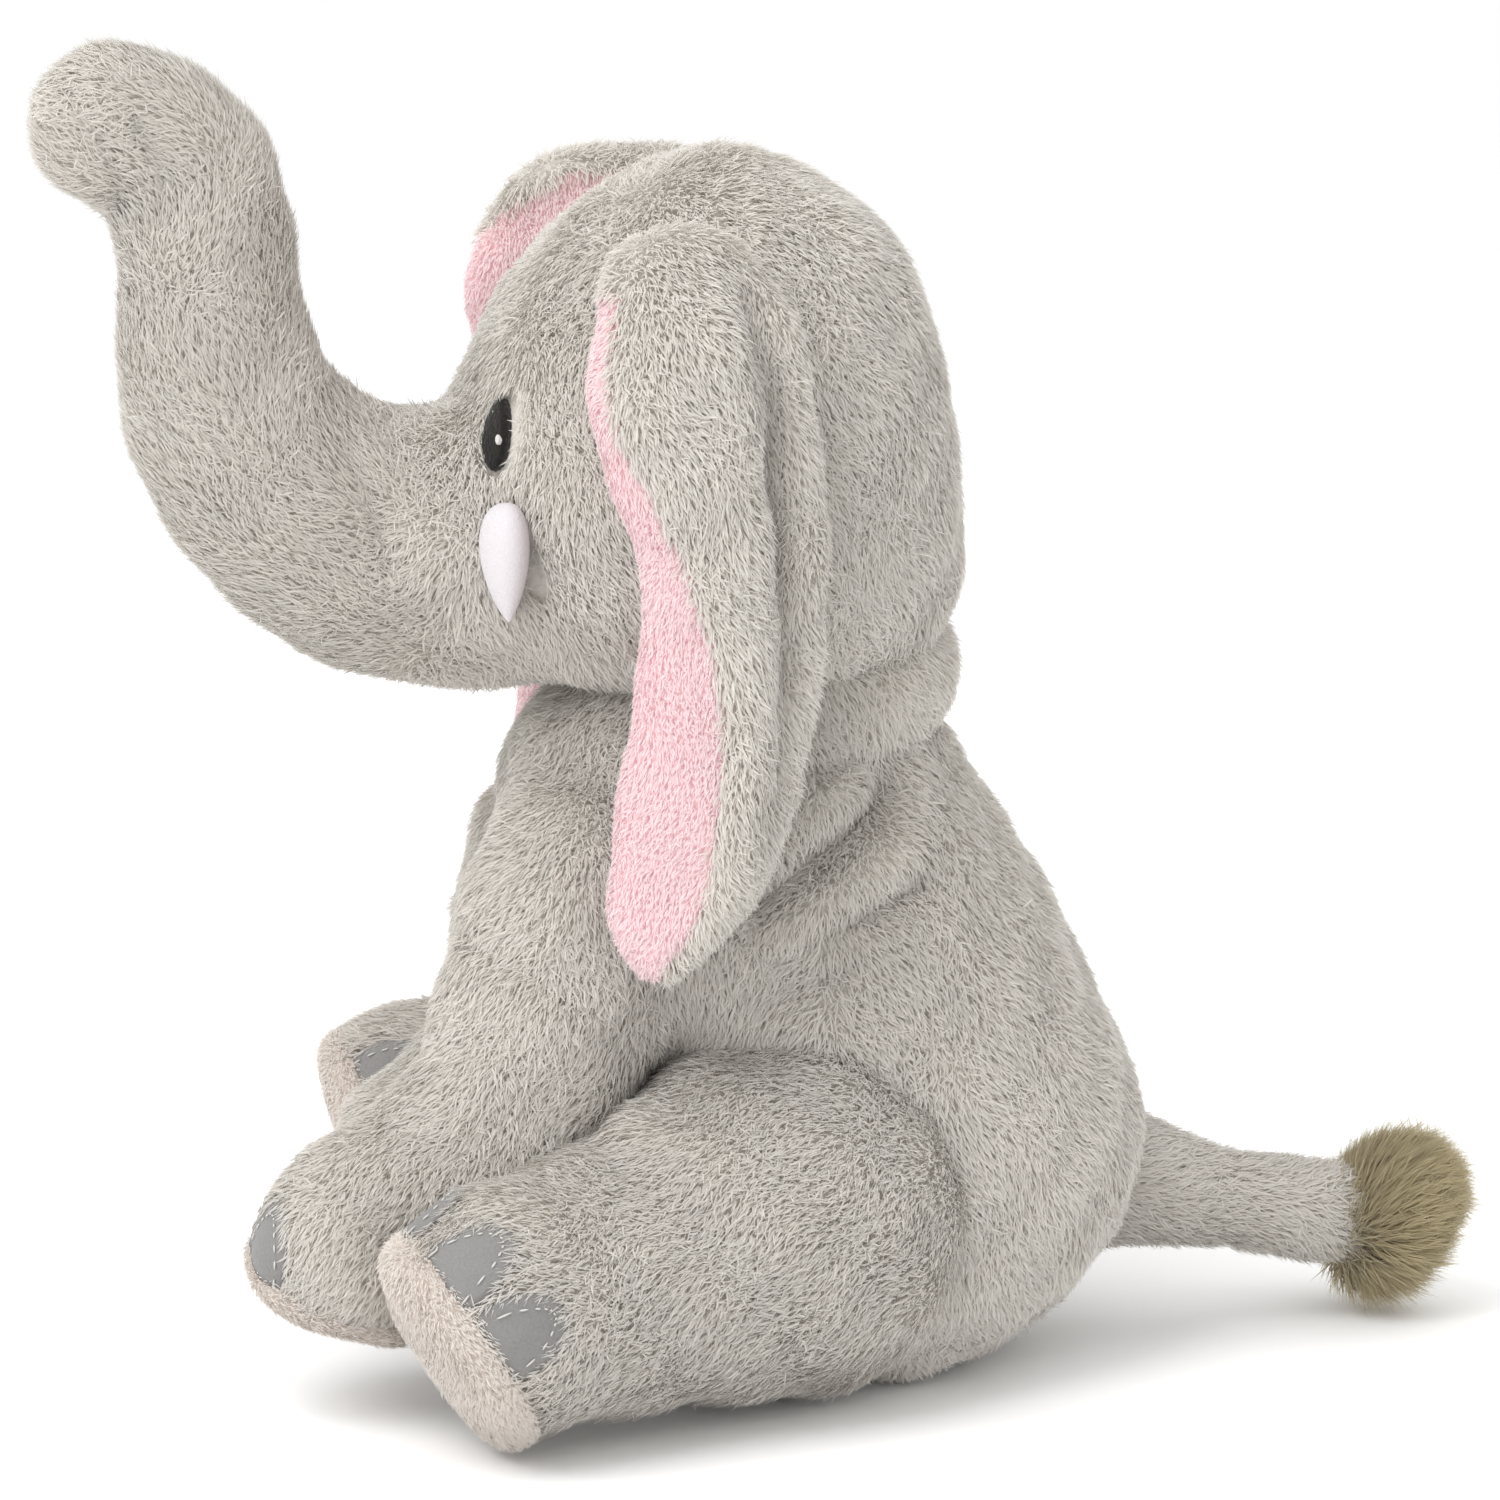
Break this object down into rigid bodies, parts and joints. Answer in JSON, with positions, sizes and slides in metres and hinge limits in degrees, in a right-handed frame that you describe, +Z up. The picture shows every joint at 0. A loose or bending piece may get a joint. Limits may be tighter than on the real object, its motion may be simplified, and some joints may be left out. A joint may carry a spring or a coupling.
{
  "type": "stuffed elephant",
  "caption": "Seated plush elephant with a raised trunk, long drooping ears with a pink lining, felt toenails and a tufted tail; soft hinges at neck, trunk, ears, legs and tail.",
  "frame": {"origin": "on the floor, under the middle of the toy's bounding box", "axes": "+Z up; the face looks along -Y; +X is the toy's left side; X = 0 is its middle plane"},
  "size_m": [0.248, 0.3685, 0.3309],
  "materials": {
    "grey_plush": "soft 7 mm pile, warm light grey",
    "pink_plush": "short soft pile, pale pink",
    "cream_plush": "short soft pile, pinkish cream",
    "grey_felt": "matt felt with a running stitch",
    "white_velour": "very short pile, off-white",
    "black_thread": "satin-stitch embroidery",
    "white_thread": "satin-stitch embroidery",
    "khaki_pile": "long combed pile, khaki",
    "fibre_fill": "loose polyester fibre, white",
    "pouch_cloth": "plain woven cotton pouch"
  },
  "bodies": {
    "torso": {"belly_panel": "grey_plush", "back_panel": "grey_plush", "seat_panel": "grey_plush", "torso_stuffing": "fibre_fill", "pellet_bag": "pouch_cloth", "neck_stuffing": "fibre_fill"},
    "head": {"head_face_panel": "grey_plush", "head_back_panel": "grey_plush", "head_stuffing": "fibre_fill", "eye_left": "black_thread", "eye_right": "black_thread", "eye_glint_left": "white_thread", "eye_glint_right": "white_thread", "tusk_left": "white_velour", "tusk_right": "white_velour"},
    "trunk": {"trunk_cover": "grey_plush", "trunk_stuffing": "fibre_fill"},
    "ear_left": {"ear_outer_left": "grey_plush", "ear_lining_left": "pink_plush"},
    "ear_right": {"ear_outer_right": "grey_plush", "ear_lining_right": "pink_plush"},
    "foreleg_left": {"foreleg_cover_left": "grey_plush", "foreleg_stuffing_left": "fibre_fill", "foreleg_sole_left": "cream_plush", "foreleg_nails_left": "grey_felt"},
    "foreleg_right": {"foreleg_cover_right": "grey_plush", "foreleg_stuffing_right": "fibre_fill", "foreleg_sole_right": "cream_plush", "foreleg_nails_right": "grey_felt"},
    "hindleg_left": {"hindleg_cover_left": "grey_plush", "hindleg_stuffing_left": "fibre_fill", "hindleg_sole_left": "cream_plush", "hindleg_nails_left": "grey_felt"},
    "hindleg_right": {"hindleg_cover_right": "grey_plush", "hindleg_stuffing_right": "fibre_fill", "hindleg_sole_right": "cream_plush", "hindleg_nails_right": "grey_felt"},
    "tail": {"tail_cover": "grey_plush", "tail_stuffing": "fibre_fill", "tail_tuft": "khaki_pile"}
  },
  "joints": [
    {"name": "head_nod", "type": "hinge", "parent": "torso", "child": "head", "pos_m": [0, -0.006, 0.17], "axis": [1, 0, 0], "range_deg": [-12, 10], "stiffness_Nm_per_rad": 4},
    {"name": "trunk_bend", "type": "hinge", "parent": "head", "child": "trunk", "pos_m": [0, -0.072, 0.207], "axis": [1, 0, 0], "range_deg": [-14, 14], "stiffness_Nm_per_rad": 2.5},
    {"name": "ear_left_flap", "type": "hinge", "parent": "head", "child": "ear_left", "pos_m": [0.071, -0.002, 0.2], "axis": [0, 0, 1], "range_deg": [0, 35], "stiffness_Nm_per_rad": 0.15},
    {"name": "ear_right_flap", "type": "hinge", "parent": "head", "child": "ear_right", "pos_m": [-0.071, -0.002, 0.2], "axis": [0, 0, -1], "range_deg": [0, 35], "stiffness_Nm_per_rad": 0.15},
    {"name": "foreleg_left_swing", "type": "hinge", "parent": "torso", "child": "foreleg_left", "pos_m": [0.031, -0.05, 0.127], "axis": [1, 0, 0], "range_deg": [-45, 0], "stiffness_Nm_per_rad": 0.8},
    {"name": "foreleg_right_swing", "type": "hinge", "parent": "torso", "child": "foreleg_right", "pos_m": [-0.031, -0.05, 0.127], "axis": [1, 0, 0], "range_deg": [-45, 0], "stiffness_Nm_per_rad": 0.8},
    {"name": "hindleg_left_swing", "type": "hinge", "parent": "torso", "child": "hindleg_left", "pos_m": [0.05, -0.004, 0.047], "axis": [1, 0, 0], "range_deg": [-12, 8], "stiffness_Nm_per_rad": 1.5},
    {"name": "hindleg_right_swing", "type": "hinge", "parent": "torso", "child": "hindleg_right", "pos_m": [-0.05, -0.004, 0.047], "axis": [1, 0, 0], "range_deg": [-12, 8], "stiffness_Nm_per_rad": 1.5},
    {"name": "tail_lift", "type": "hinge", "parent": "torso", "child": "tail", "pos_m": [0, 0.096, 0.035], "axis": [1, 0, 0], "range_deg": [-8, 30], "stiffness_Nm_per_rad": 0.5}
  ]
}
